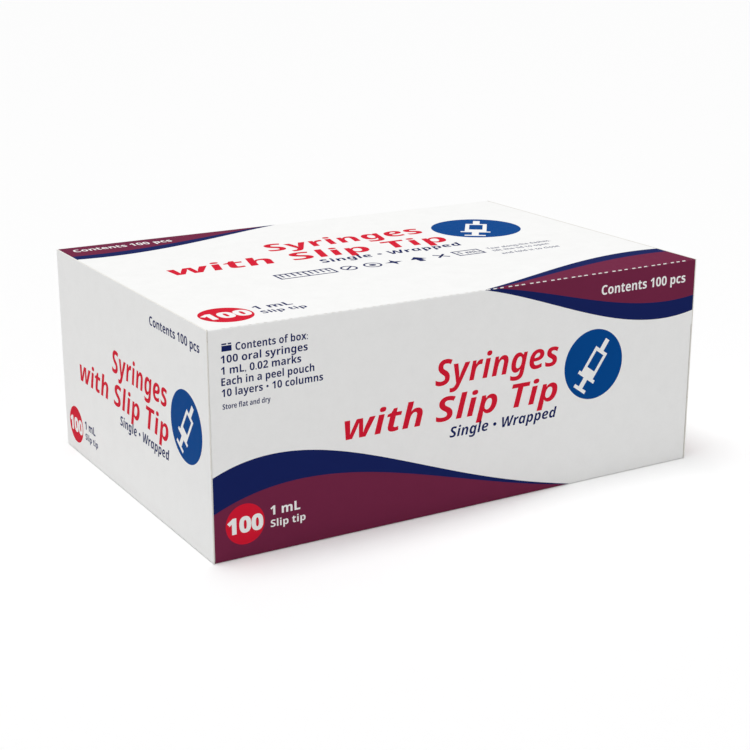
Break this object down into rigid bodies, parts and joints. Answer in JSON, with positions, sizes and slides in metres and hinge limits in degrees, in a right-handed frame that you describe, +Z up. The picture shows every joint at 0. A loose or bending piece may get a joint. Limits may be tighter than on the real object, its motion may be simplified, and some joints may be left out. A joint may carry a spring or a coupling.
{
  "type": "carton of wrapped oral syringes",
  "caption": "Closed paperboard carton with a perforated hinged lid, packed with layers of pouched slip-tip oral syringes whose plungers slide.",
  "frame": {"origin": "middle of the carton's underside", "axes": "+X along the carton's long side, +Y from the large front panel to the back panel, +Z up; the front panel faces -Y"},
  "size_m": [0.206, 0.1412, 0.0813],
  "materials": {
    "board": "satin",
    "glue": "satin",
    "paper": "matte",
    "film": "gloss",
    "clear_barrel": "gloss",
    "plunger_white": "satin",
    "rubber_black": "matte"
  },
  "bodies": {
    "carton": {"front_panel": "board", "back_panel": "board", "bottom_panel": "board", "glue_flap": "board", "seam_glue": "glue", "end_panel_left": "board", "end_panel_right": "board", "dust_flap_front_left": "board", "dust_flap_back_left": "board", "dust_flap_front_right": "board", "dust_flap_back_right": "board", "end_glue_spots": "glue", "stack_pouch_papers": "paper", "stack_pouch_films": "film", "stack_barrels": "clear_barrel", "stack_plungers": "plunger_white", "stack_gaskets": "rubber_black", "top_pouch_papers": "paper", "top_pouch_films": "film", "top_barrels": "clear_barrel"},
    "lid": {"lid_panel": "board", "lid_ear_left": "board", "lid_ear_right": "board"},
    "syringe_01_plunger": {"plunger_01": "plunger_white", "gasket_01": "rubber_black"},
    "syringe_02_plunger": {"plunger_02": "plunger_white", "gasket_02": "rubber_black"},
    "syringe_03_plunger": {"plunger_03": "plunger_white", "gasket_03": "rubber_black"},
    "syringe_04_plunger": {"plunger_04": "plunger_white", "gasket_04": "rubber_black"},
    "syringe_05_plunger": {"plunger_05": "plunger_white", "gasket_05": "rubber_black"},
    "syringe_06_plunger": {"plunger_06": "plunger_white", "gasket_06": "rubber_black"},
    "syringe_07_plunger": {"plunger_07": "plunger_white", "gasket_07": "rubber_black"},
    "syringe_08_plunger": {"plunger_08": "plunger_white", "gasket_08": "rubber_black"},
    "syringe_09_plunger": {"plunger_09": "plunger_white", "gasket_09": "rubber_black"},
    "syringe_10_plunger": {"plunger_10": "plunger_white", "gasket_10": "rubber_black"}
  },
  "joints": [
    {"name": "lid_hinge", "type": "hinge", "parent": "carton", "child": "lid", "pos_m": [0, 0.0706, 0.0813], "axis": [-1, 0, 0], "range_deg": [0, 170]},
    {"name": "plunger_01_slide", "type": "slide", "parent": "carton", "child": "syringe_01_plunger", "axis": [0, -1, 0], "range_m": [0, 0.018]},
    {"name": "plunger_02_slide", "type": "slide", "parent": "carton", "child": "syringe_02_plunger", "axis": [0, 1, 0], "range_m": [0, 0.018]},
    {"name": "plunger_03_slide", "type": "slide", "parent": "carton", "child": "syringe_03_plunger", "axis": [0, -1, 0], "range_m": [0, 0.018]},
    {"name": "plunger_04_slide", "type": "slide", "parent": "carton", "child": "syringe_04_plunger", "axis": [0, 1, 0], "range_m": [0, 0.018]},
    {"name": "plunger_05_slide", "type": "slide", "parent": "carton", "child": "syringe_05_plunger", "axis": [0, -1, 0], "range_m": [0, 0.018]},
    {"name": "plunger_06_slide", "type": "slide", "parent": "carton", "child": "syringe_06_plunger", "axis": [0, 1, 0], "range_m": [0, 0.018]},
    {"name": "plunger_07_slide", "type": "slide", "parent": "carton", "child": "syringe_07_plunger", "axis": [0, -1, 0], "range_m": [0, 0.018]},
    {"name": "plunger_08_slide", "type": "slide", "parent": "carton", "child": "syringe_08_plunger", "axis": [0, 1, 0], "range_m": [0, 0.018]},
    {"name": "plunger_09_slide", "type": "slide", "parent": "carton", "child": "syringe_09_plunger", "axis": [0, -1, 0], "range_m": [0, 0.018]},
    {"name": "plunger_10_slide", "type": "slide", "parent": "carton", "child": "syringe_10_plunger", "axis": [0, 1, 0], "range_m": [0, 0.018]}
  ]
}
